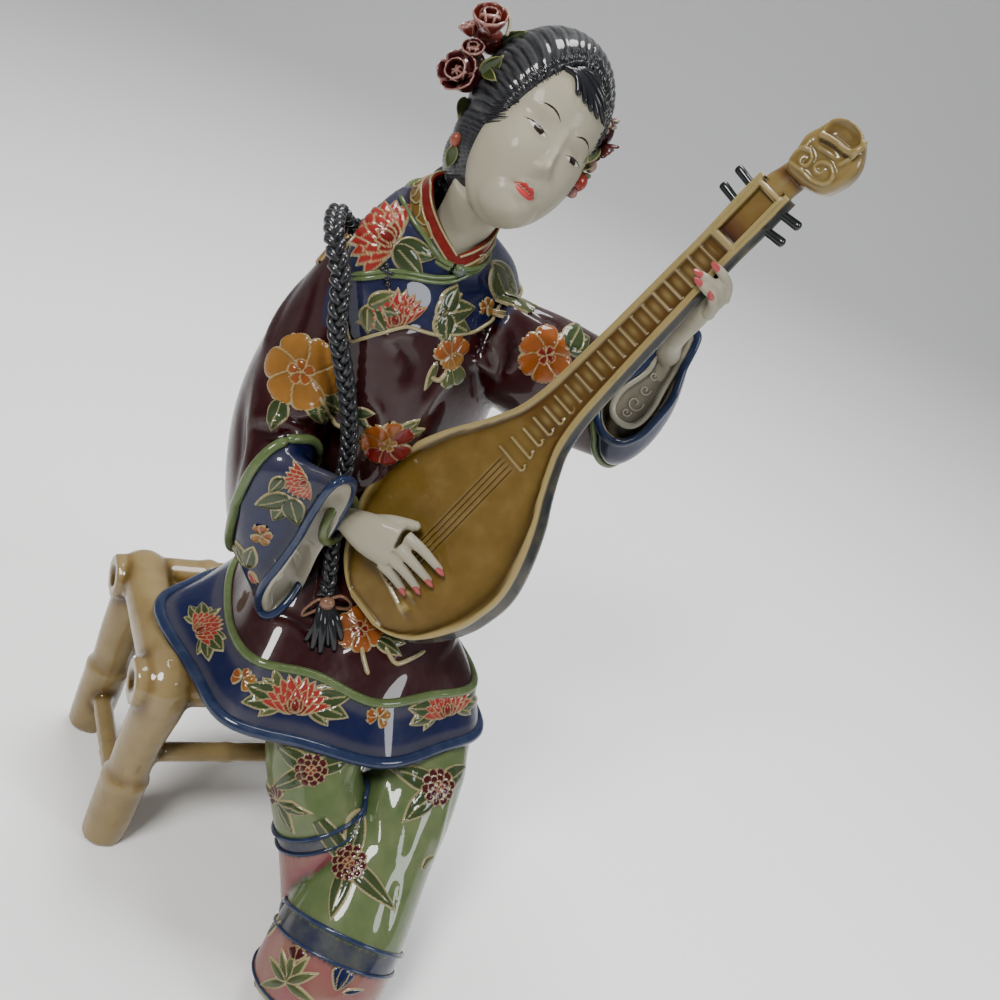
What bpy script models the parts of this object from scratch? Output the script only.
# Glazed stoneware figurine: a seated lady playing a pipa on a bamboo bench.
# Lengths are in millimetres and become metres when a mesh is made. X runs along the bench,
# Y to its back, Z up. The lady faces -Y. The origin ends up under the middle of the footprint.
import math

import bmesh
import bpy
import numpy as np
from mathutils import Euler, Matrix, Vector

MM = 0.001

# Driving dimensions
CLEARANCE = 0.4
SEAT_HEIGHT = 90.0
LEG_SPACING = 118.0
RAIL_SPACING = 70.0
RAIL_RADIUS = 10.0
RAIL_OVERHANG = 13.5
RAIL_HOLE_RADIUS = 4.2
RAIL_HOLE_DEPTH = 9.0
LEG_RADIUS = 9.6
LEG_SPLAY = 7.0
STRETCHER_RADIUS = 4.5
LONG_STRETCHER_HEIGHT = 50.0
END_STRETCHER_HEIGHT = 22.0
SEAT_BOARD_THICKNESS = 7.0
PIPA_LENGTH = 262.0
PIPA_HALF_WIDTH = 37.5
PIPA_EDGE = 5.0
PIPA_BELLY = 14.0
PEG_RADIUS = 1.8
PEG_REACH = 9.0
PEG_SOCKET = 1.8
BANGLE_RADIUS = 9.9
BANGLE_WIRE = 2.0
VOXEL = 1.1
LADY_FACES = 5100
BENCH_FACES = 1800


def empty_scene():
    for obj in list(bpy.data.objects):
        bpy.data.objects.remove(obj)


def collection(name):
    made = bpy.data.collections.new(name)
    bpy.context.scene.collection.children.link(made)
    return made


def glaze(name, colour, roughness):
    material = bpy.data.materials.new(name)
    material.use_nodes = True
    shader = material.node_tree.nodes["Principled BSDF"]
    shader.inputs["Base Color"].default_value = (*colour, 1.0)
    shader.inputs["Roughness"].default_value = roughness
    return material


def place(name, mesh, group, material=None):
    obj = bpy.data.objects.new(name, mesh)
    group.objects.link(obj)
    if material:
        mesh.materials.clear()
        mesh.materials.append(material)
    return obj


# Curves and lofts
def along(keys, count, closed=False):
    """Points on a smooth curve through the rows of keys, evenly spaced by chord."""
    keys = np.asarray(keys, float)
    if closed:
        keys = np.vstack([keys[-1], keys, keys[0], keys[1]])
    else:
        keys = np.vstack([2 * keys[0] - keys[1], keys, 2 * keys[-1] - keys[-2]])
    step = np.linalg.norm(np.diff(keys[:, :3], axis=0), axis=1)[1:-1]
    where = np.concatenate([[0], np.cumsum(step)])
    ask = np.linspace(0, where[-1], count, endpoint=not closed)
    span = np.clip(np.searchsorted(where, ask, side="right") - 1, 0, len(step) - 1)
    t = ((ask - where[span]) / step[span])[:, None]
    p0, p1, p2, p3 = (keys[span + i] for i in range(4))
    return 0.5 * (
        2 * p1 + (p2 - p0) * t + (2 * p0 - 5 * p1 + 4 * p2 - p3) * t**2
        + (3 * p1 - p0 - 3 * p2 + p3) * t**3
    )


def unit(vector):
    vector = np.asarray(vector, float)
    return vector / np.linalg.norm(vector, axis=-1, keepdims=True)


def loft(name, rings, group):
    """A closed skin over rings of equal counts, with a fan to the middle of each end ring."""
    rings = np.asarray(rings, float)
    count, around = rings.shape[:2]
    bm = bmesh.new()
    rows = [[bm.verts.new(p * MM) for p in ring] for ring in rings]
    ends = [bm.verts.new(rings[i].mean(0) * MM) for i in (0, -1)]
    for i in range(count - 1):
        for j in range(around):
            k = (j + 1) % around
            bm.faces.new((rows[i][j], rows[i][k], rows[i + 1][k], rows[i + 1][j]))
    for j in range(around):
        k = (j + 1) % around
        bm.faces.new((rows[0][k], rows[0][j], ends[0]))
        bm.faces.new((rows[-1][j], rows[-1][k], ends[1]))
    bmesh.ops.recalc_face_normals(bm, faces=bm.faces)
    mesh = bpy.data.meshes.new(name)
    bm.to_mesh(mesh)
    bm.free()
    return place(name, mesh, group)


def tube(name, keys, side, group, steps=24, around=20):
    """A round or oval limb. Each key is x, y, z, half-width along side, half-width across it."""
    path = along(keys, steps)
    centre, wide, deep = path[:, :3], path[:, 3:4], path[:, 4:5]
    ahead = unit(np.gradient(centre, axis=0))
    across = unit(np.cross(ahead, side))
    outward = np.cross(across, ahead)
    angles = np.linspace(0, 2 * math.pi, around, endpoint=False)
    rings = [
        centre + outward * wide * math.cos(a) + across * deep * math.sin(a) for a in angles
    ]
    return loft(name, np.stack(rings, axis=1), group)


def blob(name, centre, radii, group, turn=(0, 0, 0)):
    bm = bmesh.new()
    bmesh.ops.create_uvsphere(bm, u_segments=20, v_segments=12, radius=1.0)
    shape = Matrix.Translation(Vector(centre) * MM) @ Euler(
        [math.radians(a) for a in turn]
    ).to_matrix().to_4x4() @ Matrix.Diagonal((*(r * MM for r in radii), 1.0))
    bmesh.ops.transform(bm, matrix=shape, verts=bm.verts)
    mesh = bpy.data.meshes.new(name)
    bm.to_mesh(mesh)
    bm.free()
    return place(name, mesh, group)


def evaluated(obj):
    bpy.context.view_layer.update()
    graph = bpy.context.evaluated_depsgraph_get()
    return bpy.data.meshes.new_from_object(obj.evaluated_get(graph))


def joined(name, pieces, group):
    """One object with the meshes of all the pieces, in the place they have."""
    bm = bmesh.new()
    for piece in pieces:
        mesh = evaluated(piece)
        mesh.transform(piece.matrix_world)
        bm.from_mesh(mesh)
        bpy.data.meshes.remove(mesh)
        bpy.data.objects.remove(piece)
    mesh = bpy.data.meshes.new(name)
    bm.to_mesh(mesh)
    bm.free()
    return place(name, mesh, group)


def fused(name, pieces, group, material, voxel, smooth, faces):
    """The pieces as one skin, worked smooth as a modeller does with a wet sponge."""
    rough = joined(name + "_rough", pieces, group)
    remesh = rough.modifiers.new("One skin", "REMESH")
    remesh.mode = "VOXEL"
    remesh.voxel_size = voxel * MM
    remesh.use_smooth_shade = True
    sponge = rough.modifiers.new("Sponge", "SMOOTH")
    sponge.factor = 0.5
    sponge.iterations = smooth
    mesh = evaluated(rough)
    bpy.data.objects.remove(rough)
    mesh.name = name
    made = place(name, mesh, group, material)
    thin = made.modifiers.new("Facets", "DECIMATE")
    thin.ratio = min(1.0, faces / (2 * len(mesh.polygons)))
    plain = evaluated(made)
    made.modifiers.clear()
    made.data = plain
    return made


def cut(obj, cutter):
    cutter.hide_render = True
    cutter.display_type = "WIRE"
    boolean = obj.modifiers.new("Cut by " + cutter.name, "BOOLEAN")
    boolean.operation = "DIFFERENCE"
    boolean.object = cutter


def bamboo_pole(name, start, end, radius, nodes, group, grow=0.0, around=16):
    """A straight pole that swells a little at each node ring."""
    keys = []
    start, end = np.array(start, float), np.array(end, float)
    for t in np.linspace(0, 1, 25):
        ring = sum(math.exp(-(((t - n) / 0.03) ** 2)) for n in nodes)
        waist = 0.04 * math.cos(2 * math.pi * (t - (nodes[0] if nodes else 0)))
        r = radius * (1 + 0.1 * ring + waist) + grow
        keys.append([*(start + (end - start) * t), r, r])
    side = (0, 0, 1) if abs(end[2] - start[2]) < abs(end - start).max() / 2 else (0, 1, 0)
    return tube(name, keys, side, group, steps=26, around=around)


def bent_leg(name, side, group, grow=0.0):
    """One pole bent over both rails: front foot, up, along the end of the seat, down."""
    top, foot = side * LEG_SPACING / 2, side * (LEG_SPACING / 2 + LEG_SPLAY)
    half = RAIL_SPACING / 2
    z = SEAT_HEIGHT
    r = LEG_RADIUS + grow
    bend = 1.22
    right_half = [
        (foot, -half, -grow, r * 0.97, r * 0.97),
        (foot - side * 1.2, -half, 12, r * 1.04, r * 1.04),
        (foot - side * 2.7, -half, 33, r * 1.1, r * 1.1),
        (foot - side * 3.2, -half, 38, r * 0.96, r * 0.96),
        (top + side * 2.5, -half - 1, 60, r, r),
        (top, -half - 2, z - 10, r * 1.12, r * 1.14),
        (top, -half - 1, z + 1, r * bend, r * bend),
        (top, -half + 12, z + 2, r * 1.16, r * 0.96),
        (top, 0, z + 1, r * 1.14, r * 0.9),
    ]
    keys = right_half + [(x, -y, h, a, b) for x, y, h, a, b in right_half[-2::-1]]
    return tube(name, keys, (1, 0, 0), group, steps=56, around=14)


def bench_pieces(group, grow=0.0):
    half = RAIL_SPACING / 2
    reach = LEG_SPACING / 2 + RAIL_OVERHANG + grow
    rail = RAIL_RADIUS
    z = SEAT_HEIGHT
    low_x = LEG_SPACING / 2 + LEG_SPLAY * (1 - LONG_STRETCHER_HEIGHT / SEAT_HEIGHT)
    end_x = LEG_SPACING / 2 + LEG_SPLAY * (1 - END_STRETCHER_HEIGHT / SEAT_HEIGHT)
    found = [bent_leg("bent_leg", side, group, grow) for side in (-1, 1)]
    for y in (-half, half):
        found.append(bamboo_pole("rail", (-reach, y, z), (reach, y, z), rail, (0.3, 0.7), group, grow))
        found.append(
            bamboo_pole(
                "long_stretcher", (-low_x, y, LONG_STRETCHER_HEIGHT), (low_x, y, LONG_STRETCHER_HEIGHT),
                STRETCHER_RADIUS, (0.32, 0.68), group, grow, around=12,
            )
        )
    for side in (-1, 1):
        x = side * end_x
        found.append(
            bamboo_pole(
                "end_stretcher", (x, -half, END_STRETCHER_HEIGHT), (x, half, END_STRETCHER_HEIGHT),
                STRETCHER_RADIUS, (0.4,), group, grow, around=12,
            )
        )
    bm = bmesh.new()
    bmesh.ops.create_cube(bm, size=1.0)
    size = (LEG_SPACING + 2 * grow, RAIL_SPACING + 2 * grow, SEAT_BOARD_THICKNESS + 2 * grow)
    bmesh.ops.scale(bm, vec=[s * MM for s in size], verts=bm.verts)
    bmesh.ops.translate(bm, vec=(0, 0, (z + 1) * MM), verts=bm.verts)
    mesh = bpy.data.meshes.new("seat_board")
    bm.to_mesh(mesh)
    bm.free()
    found.append(place("seat_board", mesh, group))
    return found


def make_bench(group, cutters, material):
    bench = fused("bamboo_bench", bench_pieces(group), group, material, VOXEL, 3, BENCH_FACES)
    reach = LEG_SPACING / 2 + RAIL_OVERHANG
    for side in (-1, 1):
        for y in (-RAIL_SPACING / 2, RAIL_SPACING / 2):
            bpy.ops.mesh.primitive_cylinder_add(
                vertices=14, radius=RAIL_HOLE_RADIUS * MM, depth=2 * RAIL_HOLE_DEPTH * MM,
                location=(side * reach * MM, y * MM, SEAT_HEIGHT * MM), rotation=(0, math.pi / 2, 0),
            )
            hole = bpy.context.active_object
            hole.name = "rail_hole"
            move_to(hole, cutters)
            cut(bench, hole)
    sole = place("bench_sole", flat_box((-200, -200, -20), (200, 200, 0)), cutters)
    cut(bench, sole)
    return bench


def move_to(obj, group):
    for old in list(obj.users_collection):
        old.objects.unlink(obj)
    group.objects.link(obj)


def flat_box(low, high):
    bm = bmesh.new()
    bmesh.ops.create_cube(bm, size=1.0)
    low, high = Vector(low), Vector(high)
    bmesh.ops.scale(bm, vec=(high - low) * MM, verts=bm.verts)
    bmesh.ops.translate(bm, vec=(high + low) / 2 * MM, verts=bm.verts)
    mesh = bpy.data.meshes.new("box")
    bm.to_mesh(mesh)
    bm.free()
    return mesh


# The pipa, in its own frame: s along the neck, w across the face, d out of the face
PIPA_FOOT = np.array([5.7, -52.0, 147.7])
PIPA_AHEAD = unit([0.351, -0.073, 0.934])
PIPA_FACE = np.array([-0.813, -0.518, 0.265])
PIPA_FACE = unit(PIPA_FACE - PIPA_AHEAD * (PIPA_FACE @ PIPA_AHEAD))
PIPA_SIDE = np.cross(PIPA_AHEAD, PIPA_FACE)
# Shares of the length, and of the greatest half-width
PIPA_OUTLINE = [
    (0.0, 0.2), (0.008, 0.36), (0.02, 0.5), (0.038, 0.64), (0.07, 0.79), (0.115, 0.93), (0.155, 0.985),
    (0.185, 1.0), (0.215, 0.97), (0.25, 0.89), (0.28, 0.8), (0.31, 0.69), (0.345, 0.54), (0.38, 0.41),
    (0.41, 0.32), (0.45, 0.265), (0.5, 0.24), (0.6, 0.215), (0.7, 0.2), (0.765, 0.19),
]
# Pegbox and carved head: share of the length, half-width, front and back of the section
PIPA_TOP = [
    (0.775, 7.4, 0, 8), (0.83, 7.5, 0, 8.5), (0.866, 7.4, 0, 8.5), (0.882, 5.6, -2.5, 10),
    (0.9, 6.8, -2.0, 12), (0.925, 8.8, -0.5, 14), (0.955, 9.6, 0.5, 15), (0.98, 8.4, -1, 14), (1.0, 4.5, -5, 11),
]
PEG_SHARES = (0.822, 0.851)


def on_pipa(s, w, d):
    """A point of the pipa: s along the neck, w across it, d out of the face, in millimetres."""
    return PIPA_FOOT + PIPA_AHEAD * s + PIPA_SIDE * w + PIPA_FACE * d


def pipa_rings(grow):
    rings = []
    angles = np.linspace(0, math.pi, 10)
    body = along([(s * PIPA_LENGTH, w * PIPA_HALF_WIDTH, 0) for s, w in PIPA_OUTLINE], 22)
    sections = [(s, w, 0, PIPA_EDGE + PIPA_BELLY * min(1, (w / 26)) ** 1.1 * 0.94) for s, w, _ in body]
    sections += [(share * PIPA_LENGTH, w, front, back) for share, w, front, back in PIPA_TOP]
    for number, (s, w, front, back) in enumerate(sections):
        s = s - grow if number == 0 else s + grow if number == len(sections) - 1 else s
        w, front, back = w + grow, front + grow, back + grow
        edge = min(front - 1.0, -2.0)
        ring = [on_pipa(s, w * math.cos(a), edge - (back + edge) * math.sin(a)) for a in angles]
        ring += [on_pipa(s, w * share, front) for share in (-0.94, -0.5, 0.0, 0.5, 0.94)]
        rings.append(ring)
    return rings


def peg_centres():
    """Where each peg leaves the pegbox and the way it points."""
    found = []
    for side in (-1, 1):
        for share in PEG_SHARES:
            s = share * PIPA_LENGTH
            found.append((on_pipa(s, side * 7.4, -4.4), unit(PIPA_SIDE * side + PIPA_AHEAD * 0.12)))
    return found


def round_bar(name, start, ahead, radii, steps, group, around=9):
    """A turned bar: its radius at each of the distances in steps from start."""
    ahead = unit(ahead)
    side = unit(np.cross(ahead, (0.3, 0.2, 1.0)))
    other = np.cross(ahead, side)
    angles = np.linspace(0, 2 * math.pi, around, endpoint=False)
    rings = [
        [start + ahead * step + (side * math.cos(a) + other * math.sin(a)) * r for a in angles]
        for step, r in zip(steps, radii)
    ]
    return loft(name, rings, group)


def make_pipa(group, cutters, material):
    pipa = loft("pipa", pipa_rings(0.0), group)
    pipa.data.materials.append(material)
    for start, ahead in peg_centres():
        r = PEG_RADIUS * 0.75 + 0.3
        socket = round_bar("peg_socket", start, ahead, (r, r), (-PEG_SOCKET - 0.3, 4.0), cutters)
        cut(pipa, socket)
    return pipa


def make_pegs(group, material):
    for number, (start, ahead) in enumerate(peg_centres(), 1):
        r = PEG_RADIUS
        steps = (-PEG_SOCKET, 0.5, 1.6, 3.5, 6.5, PEG_REACH - 0.8, PEG_REACH)
        radii = (r * 0.75, r * 0.75, r * 0.95, r * 1.05, r * 1.1, r, r * 0.5)
        peg = round_bar(f"tuning_peg_{number}", start, ahead, radii, steps, group)
        peg.data.materials.append(material)


def peg_room(cutters):
    """Bars a little larger than the pegs, cut from the hand near them."""
    found = []
    for start, ahead in peg_centres():
        r = PEG_RADIUS * 1.1 + CLEARANCE
        found.append(round_bar("peg_room", start, ahead, (r, r), (0, PEG_REACH + CLEARANCE), cutters))
    return found


# The lady. Rings of cloth run from her right side round the front, her left side and the back
PHI = (180, 205, 228, 250, 272, 295, 320, 350, 395, 450, 490, 520)
HEM = [
    (-60, -4, 104), (-51, -42, 103), (-41, -68, 101), (-12, -80, 101), (20, -89, 99), (50, -80, 99),
    (74, -66, 99), (71, -25, 100), (58, 18, 100), (15, 38, 100), (-20, 33, 100), (-43, 16, 103),
]
PIPING = [
    (-34, -8, 116), (-37, -36, 118), (-31, -54, 120), (-9, -62, 121), (14, -75, 119), (40, -70, 119),
    (66, -60, 119), (63, -22, 121), (47, 20, 122), (15, 33, 122), (-13, 29, 121), (-27, 14, 118),
]
LAP = [
    (-24, -2, 142), (-27, -24, 140), (-19, -40, 138), (2, -47, 138), (23, -56, 137), (40, -54, 136),
    (54, -38, 138), (52, -8, 141), (42, 18, 142), (15, 27, 142), (-8, 25, 142), (-22, 14, 142),
]
# Waist, bust, shoulders, neck: centre, half-width, half-depth, turn in degrees, and how much the
# ring drops per millimetre towards her left and her back
TORSO = [
    ((16, 0, 165), 33, 23, 8, 0, 0), ((16, -1, 195), 36.5, 24, 14, 0, 0), ((16, -2, 225), 41, 26, 18, 0, 0),
    ((13, -1, 248), 42, 25, 18, 0.04, 0), ((12, 0, 267), 46, 20, 18, 0.1, 0),
    ((10, 1, 281), 43, 17, 18, 0.13, -0.1), ((8, 0, 293), 34, 16, 16, 0.13, -0.25),
    ((9, -1, 299), 22, 15, 12, 0.1, -0.42), ((12, -3, 304), 13.5, 12.5, 10, 0, -0.42),
]


def oval(centre, wide, deep, turn, drop_left, drop_back):
    a = np.radians(PHI)
    x, y, t = wide * np.cos(a), deep * np.sin(a), math.radians(turn)
    x, y = x * math.cos(t) - y * math.sin(t), x * math.sin(t) + y * math.cos(t)
    return np.asarray(centre, float) + np.stack((x, y, -x * drop_left - y * drop_back), axis=1)


def spread(keys, per):
    """Each ring of keys as a closed smooth curve, with per points from key to key."""
    keys = np.asarray(keys, float)
    p0, p1, p2, p3 = (np.roll(keys, k, axis=1) for k in (1, 0, -1, -2))
    rows = []
    for t in np.arange(per) / per:
        rows.append(
            0.5 * (2 * p1 + (p2 - p0) * t + (2 * p0 - 5 * p1 + 4 * p2 - p3) * t**2
                   + (3 * p1 - p0 - 3 * p2 + p3) * t**3)
        )
    return np.stack(rows, axis=2).reshape(keys.shape[0], -1, 3)


def between(rings, per):
    """More rings between the given ones, on smooth curves through them."""
    rings = np.asarray(rings, float)
    padded = np.concatenate([2 * rings[:1] - rings[1:2], rings, 2 * rings[-1:] - rings[-2:-1]])
    found = []
    for i in range(len(rings) - 1):
        p0, p1, p2, p3 = padded[i:i + 4]
        for t in np.arange(per) / per:
            found.append(
                0.5 * (2 * p1 + (p2 - p0) * t + (2 * p0 - 5 * p1 + 4 * p2 - p3) * t**2
                       + (3 * p1 - p0 - 3 * p2 + p3) * t**3)
            )
    return np.array(found + [rings[-1]])


def sweep_rings(keys, side, around=24, per=4):
    """Oval sections. Each key is a centre, the way ahead, half-widths along side and across."""
    rings = []
    angles = np.linspace(0, 2 * math.pi, around, endpoint=False)
    for centre, ahead, along_side, across in keys:
        n = unit(ahead)
        a = unit(np.asarray(side, float) - n * (np.asarray(side, float) @ n))
        b = np.cross(n, a)
        rings.append(
            [np.array(centre, float) + a * along_side * math.cos(t) + b * across * math.sin(t) for t in angles]
        )
    return between(rings, per)


RIGHT_SLEEVE = [
    ((-8, 2, 272), (-0.9, 0.1, -0.3), 16, 13), ((-22, 2, 267), (-0.75, 0, -0.65), 18.5, 14.5),
    ((-31, -1, 243), (-0.2, -0.15, -1), 20.5, 15.5), ((-37, -7, 214), (-0.05, -0.4, -0.9), 23.5, 17),
    ((-38, -17, 192), (0.15, -0.85, -0.5), 27, 17), ((-32, -29, 179), (0.42, -0.85, -0.3), 32, 15.5),
    ((-23, -41, 168), (0.5, -0.8, -0.3), 36.5, 13.5),
]
LEFT_SLEEVE = [
    ((34, -8, 258), (0.95, -0.2, -0.2), 20, 14), ((53, -14, 254), (0.9, -0.2, -0.4), 24, 16),
    ((76, -16, 247), (0.9, -0.1, -0.35), 25.5, 18), ((97, -20, 246), (0.5, -0.7, 0.3), 26, 18),
    ((104, -30, 252), (-0.15, -0.9, 0.4), 29, 15), ((101, -41, 258), (-0.5, -0.8, 0.35), 31, 12.5),
]
SLEEVE_SIDES = ((0, -0.7, 0.7), (0.2, -0.1, 0.95))
MOUTH_DEPTH = 13.0
CLOTH = 2.0
LEFT_LEG = [
    ((22, -4, 110), (0.3, -0.9, -0.1), 18, 18), ((40, -44, 105), (0.25, -0.95, -0.2), 18.5, 18.5),
    ((49, -67, 92), (0.1, -0.8, -0.6), 21.5, 21.5), ((44, -80, 74), (-0.35, -0.6, -0.75), 22, 22),
    ((31, -98, 54), (-0.4, -0.58, -0.7), 23.5, 23.5), ((19, -115, 36), (-0.4, -0.55, -0.75), 26, 25.5),
    ((11, -125, 22), (-0.3, -0.4, -0.87), 27, 26), ((7, -129, 12), (-0.15, -0.15, -1), 27, 25),
]
RIGHT_LEG = [
    ((4, -4, 108), (0, -1, -0.1), 18, 18), ((0, -46, 103), (-0.1, -1, -0.2), 18, 18),
    ((-2, -66, 91), (0, -0.8, -0.6), 19.5, 19.5), ((2, -78, 74), (0.35, -0.5, -0.8), 19.5, 19.5),
    ((9, -86, 56), (0.45, -0.4, -0.8), 20, 20), ((17, -92, 36), (0.4, -0.3, -0.85), 22, 21),
    ((23, -95, 20), (0.25, -0.15, -0.95), 23, 22), ((25, -96, 11), (0.1, 0, -1), 23, 21),
]
HEAD_CENTRE = (20.0, -15.7, 337.3)
HEAD_TURN = (-22.0, 22.5, -9.0)
HEAD_SIZE = 1.08


def on_head(r, f, u):
    """A point of the head: r to her left, f out of the face, u up, from between the eyes."""
    turn = np.array(Euler([math.radians(a) for a in HEAD_TURN]).to_matrix())
    return np.array(HEAD_CENTRE) + HEAD_SIZE * (turn @ np.array([r, -f, u], float))


def head_blob(name, centre, radii, group):
    return blob(name, on_head(*centre), [r * HEAD_SIZE for r in (radii[0], radii[1], radii[2])], group, HEAD_TURN)


BRAID = [
    (4, 18, 301), (-9, 16, 292), (-22, 10, 291), (-33, 1, 294), (-40, -12, 288), (-37, -24, 275), (-35, -30, 259),
    (-27, -31, 242), (-18, -31, 221), (-14, -32, 203), (-11, -32, 180), (-7, -38, 155), (-8, -44, 147),
]
TASSEL = [(-8, -44, 148, 3, 3), (-8, -50, 140, 4, 3), (-8, -54, 131, 5, 3), (-8, -57, 126, 3, 2)]
LEFT_SHOE = [(6, -126, 7, 10, 9), (3, -140, 6, 11, 8), (0, -152, 4.5, 9, 6), (-1, -158, 3.5, 4, 4)]
RIGHT_SHOE = [(26, -95, 7, 10, 9), (42, -94, 6, 10, 8), (58, -91, 4.5, 8, 6), (66, -90, 3.5, 4, 4)]
# Knuckle, middle joint and tip of each finger, in the pipa's own directions
FINGERS_RIGHT = [
    ((40, -5, 9), (41, 3, 7.5), (39.4, 11.5, 2.4)), ((35, -4, 10), (35, 4, 8.5), (32.8, 11.5, 2.4)),
    ((29.5, -4, 10), (29.5, 3, 8), (26.8, 10, 2.4)), ((24.5, -5, 9), (24, 1, 7), (21.5, 6, 2.4)),
]
FINGERS_LEFT = [
    ((176, 9, -12), (182, 13, -6), (183, 10, 3), (182, 4, 3)),
    ((180, 9, -13), (187, 13.5, -6), (188.5, 11, 3), (188, 4.5, 3)),
    ((184, 9, -13), (191.5, 13, -7), (194.5, 11, 2.6), (194, 6.5, 2.8)),
    ((187, 7, -13), (197, 11, -8), (200, 10, 1), (199.5, 6.5, 2.6)),
]


def fingers(name, joints, group, first, last):
    radii = np.linspace(first, last, len(joints))
    keys = [(*on_pipa(*joint), r, r * 0.95) for joint, r in zip(joints, radii)]
    return tube(name, keys, PIPA_AHEAD, group, 9, 9)


def arm_pieces(group):
    wrist, knuckles = on_pipa(25, -28.5, 12), on_pipa(33, -5, 9.5)
    palm = (wrist + knuckles) / 2 + PIPA_FACE
    left_wrist, left_palm = on_pipa(165, 5, -18), on_pipa(178, 8.5, -13.5)
    right_arm = [(-31, -28, 178, 7.5, 7), (-21, -31, 180, 6.2, 5.6), (*wrist, 5.0, 4.5)]
    left_arm = [(101, -36, 250, 7, 7), (95, -45, 272, 6.2, 6), (*left_wrist, 5.4, 5)]
    right_hand = [(*wrist, 5.0, 4.5), (*palm, 8.6, 4.6), (*knuckles, 9.6, 3.4)]
    left_hand = [(*left_wrist, 5.4, 4.8), (*left_palm, 8, 4.6), (*on_pipa(188, 8, -12.5), 7, 3.6)]
    found = [
        tube("right_forearm", right_arm, (0, 0, 1), group, 8, 14),
        tube("right_palm", right_hand, PIPA_AHEAD, group, 8, 14),
        tube("left_forearm", left_arm, (0, 1, 0), group, 8, 14),
        tube("left_palm", left_hand, PIPA_SIDE, group, 8, 14),
        fingers("right_thumb", [(32, -20, 10), (39, -14, 9), (44, -7, 5.5)], group, 3.2, 2.2),
        fingers("left_thumb", [(168, 3, -16), (174, -4, -13), (180, -9, -8)], group, 3.2, 2.3),
    ]
    found += [fingers("right_finger", joints, group, 2.9, 1.9) for joints in FINGERS_RIGHT]
    found += [fingers("left_finger", joints, group, 2.9, 1.8) for joints in FINGERS_LEFT]
    return found


def head_pieces(group):
    nape = on_head(0, -21, -24)
    neck = [(12, -2, 288, 12, 12), (14, -5, 302, 10.5, 10.5), (*on_head(0, -8, -20), 10.5, 11)]
    return [
        head_blob("skull", (-1, -7, 13.5), (23.5, 25, 28.5), group),
        head_blob("combed_sides", (0, -12, -3), (22.5, 17, 21), group),
        head_blob("face", (0, 0.5, -3), (17.8, 15.5, 27), group),
        head_blob("jaw", (0, 6, -20), (10.5, 9.5, 9), group),
        head_blob("nose", (0, 16.5, -7), (2.4, 3.6, 5), group),
        head_blob("chignon", (0, -28, -8), (13, 9, 11), group),
        tube("neck", neck, (0, 1, 0), group, 8, 16),
        tube("nape_braid", [(*nape, 6, 6), (8, 18, 309, 5, 5), (4, 18, 301, 4, 4)], (0, 1, 0), group, 8, 10),
        blob("red_flower", (-5, 0, 367), (8.5, 7, 8), group),
        blob("burgundy_flower", (-9, 0, 352), (8.5, 7, 8.5), group),
        blob("flower_stem", (4, 2, 361), (7, 6, 6), group),
        blob("flower_stem", (0, 1, 351), (7, 6, 6), group),
        blob("low_leaf", (-8, -4, 340), (3, 3, 8), group),
        blob("cream_petals", (45, -15, 355), (5, 5, 6), group),
        blob("burgundy_petals", (46, -15, 345), (5, 5, 5), group),
        blob("bead_flower", (39, -20, 332), (4.5, 4.5, 5), group),
        head_blob("earring", (-18.5, -1, -12), (2.2, 2.2, 4), group),
    ]


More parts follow.
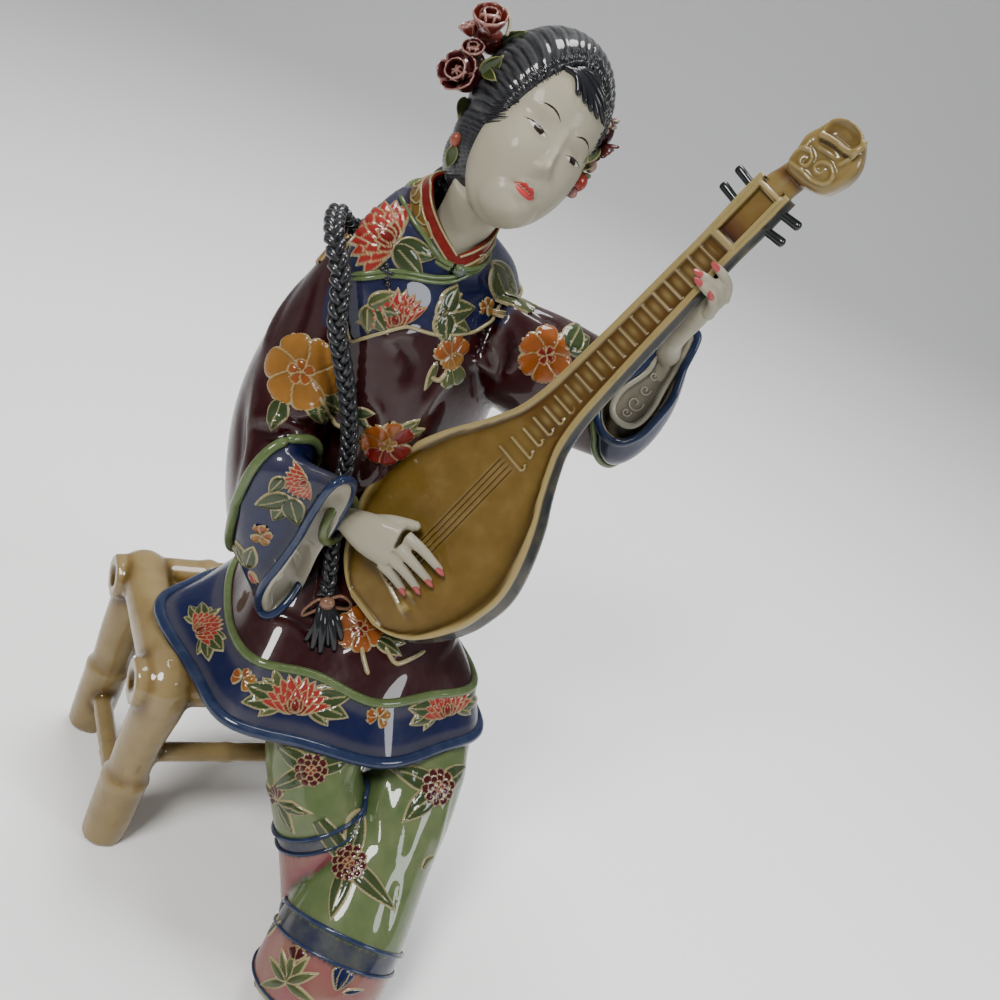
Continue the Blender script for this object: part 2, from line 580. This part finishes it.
def make_lady(group, cutters, bench, material):
    skirt = between(spread([HEM, PIPING, LAP] + [oval(*row) for row in TORSO], 4), 4)
    jacket = loft("jacket", skirt, group)
    pieces = [jacket]
    for name, keys, side in (
        ("right_sleeve", RIGHT_SLEEVE, SLEEVE_SIDES[0]), ("left_sleeve", LEFT_SLEEVE, SLEEVE_SIDES[1]),
    ):
        sleeve = loft(name, sweep_rings(keys, side), group)
        mouth = [(np.array(c, float), unit(n), a - CLOTH, b - CLOTH) for c, n, a, b in keys[-2:]]
        (c0, n0, a0, b0), (c1, n1, a1, b1) = mouth
        start = c1 + unit(c0 - c1) * MOUTH_DEPTH
        inside = [(start, n1, a1 * 0.8, b1 * 0.75), (c1, n1, a1, b1), (c1 + n1 * 4, n1, a1 + 1, b1 + 1)]
        hollow = loft(name + "_mouth", sweep_rings(inside, side, per=2), group)
        boolean = sleeve.modifiers.new("Mouth", "BOOLEAN")
        boolean.operation = "DIFFERENCE"
        boolean.object = hollow
        plain = evaluated(sleeve)
        bpy.data.objects.remove(hollow)
        sleeve.modifiers.clear()
        sleeve.data = plain
        pieces.append(sleeve)
    for name, keys in (("left_leg", LEFT_LEG), ("right_leg", RIGHT_LEG)):
        pieces.append(loft(name, sweep_rings(keys, (1, 0, 0)), group))
    pieces.append(tube("left_shoe", LEFT_SHOE, (1, 0, 0), group, 10, 14))
    pieces.append(tube("right_shoe", RIGHT_SHOE, (0, 1, 0), group, 10, 14))
    pieces.append(blob("hips", (15, 6, 108), (38, 28, 18), group))
    pieces.append(tube("braid", [(*p, 4.4, 4.0) for p in BRAID], (0, 1, 0), group, 60, 12))
    pieces.append(tube("tassel", TASSEL, (1, 0, 0), group, 8, 10))
    pieces += [blob("bow", (-15, -46, 146), (5, 2.5, 4), group), blob("bow", (-2, -46, 147), (5, 2.5, 4), group)]
    collar = [((11, -1, 291), (0, -0.42, 0.9), 17, 15.5), ((13, -4, 304), (0, -0.42, 0.9), 14.5, 13.5)]
    pieces.append(loft("collar", sweep_rings(collar, (1, 0, 0)), group))
    pieces += head_pieces(group) + arm_pieces(group)
    lady = fused("lady", pieces, group, material, VOXEL, 2, LADY_FACES)
    seat = place("bench_clearance", evaluated(bench), cutters)
    swell(seat, CLEARANCE)
    cut(lady, seat)
    nest = loft("pipa_clearance", pipa_rings(CLEARANCE), cutters)
    cut(lady, nest)
    for room in peg_room(cutters):
        cut(lady, room)
    cut(lady, make_bangle(cutters, material, CLEARANCE))
    floor = place("floor", flat_box((-200, -250, -40), (250, 200, 0)), cutters)
    cut(lady, floor)
    plain = biggest(evaluated(lady))
    lady.modifiers.clear()
    lady.data = plain
    return lady


def swell(obj, by):
    """Moves the skin out by the same amount everywhere."""
    bm = bmesh.new()
    bm.from_mesh(obj.data)
    bm.normal_update()
    moved = [v.co + v.normal * (v.calc_shell_factor() * by * MM) for v in bm.verts]
    for vert, co in zip(bm.verts, moved):
        vert.co = co
    bm.to_mesh(obj.data)
    bm.free()


def biggest(mesh):
    """Drops the crumbs a cut leaves and keeps the one skin with the most corners."""
    bm = bmesh.new()
    bm.from_mesh(mesh)
    bmesh.ops.remove_doubles(bm, verts=bm.verts, dist=0.00002)
    bmesh.ops.triangulate(bm, faces=bm.faces)
    seen, islands = set(), []
    for vert in bm.verts:
        if vert in seen:
            continue
        island, wave = [], [vert]
        seen.add(vert)
        while wave:
            at = wave.pop()
            island.append(at)
            for edge in at.link_edges:
                other = edge.other_vert(at)
                if other not in seen:
                    seen.add(other)
                    wave.append(other)
        islands.append(island)
    islands.sort(key=len)
    for island in islands[:-1]:
        bmesh.ops.delete(bm, geom=island, context="VERTS")
    bm.to_mesh(mesh)
    bm.free()
    return mesh


def make_bangle(group, material, grow=0.0):
    hand = unit(on_pipa(33, -5, 9.5) - on_pipa(25, -28.5, 12))
    centre = on_pipa(25, -28.5, 13.6) - hand * 1.2 - np.array([0, 0, 1.4])
    bpy.ops.mesh.primitive_torus_add(
        major_radius=BANGLE_RADIUS * MM, minor_radius=(BANGLE_WIRE + grow) * MM, major_segments=24, minor_segments=6,
        location=[c * MM for c in centre], rotation=Vector(hand).to_track_quat("Z", "Y").to_euler(),
    )
    ring = bpy.context.active_object
    ring.name = "bangle_clearance" if grow else "bangle"
    ring.data.materials.append(material)
    move_to(ring, group)
    return ring


empty_scene()
figure = collection("pipa_player_figurine")
cutters = collection("cutters")
straw = glaze("honey_glaze", (0.55, 0.36, 0.13), 0.2)
wine = glaze("wine_glaze", (0.09, 0.012, 0.02), 0.15)
amber = glaze("amber_glaze", (0.42, 0.22, 0.08), 0.25)
slate = glaze("slate_glaze", (0.03, 0.04, 0.045), 0.2)
celadon = glaze("celadon_glaze", (0.45, 0.5, 0.4), 0.2)
bench = make_bench(figure, cutters, straw)
pipa = make_pipa(figure, cutters, amber)
make_pegs(figure, slate)
lady = make_lady(figure, cutters, bench, wine)
make_bangle(figure, celadon)

# The origin goes under the middle of the whole figurine
bpy.context.view_layer.update()
corners = np.array(
    [tuple(obj.matrix_world @ vert.co) for obj in figure.objects for vert in obj.data.vertices]
)
middle = (corners.min(axis=0) + corners.max(axis=0)) / 2
for obj in list(figure.objects) + list(cutters.objects):
    obj.location -= Vector((middle[0], middle[1], 0.0))
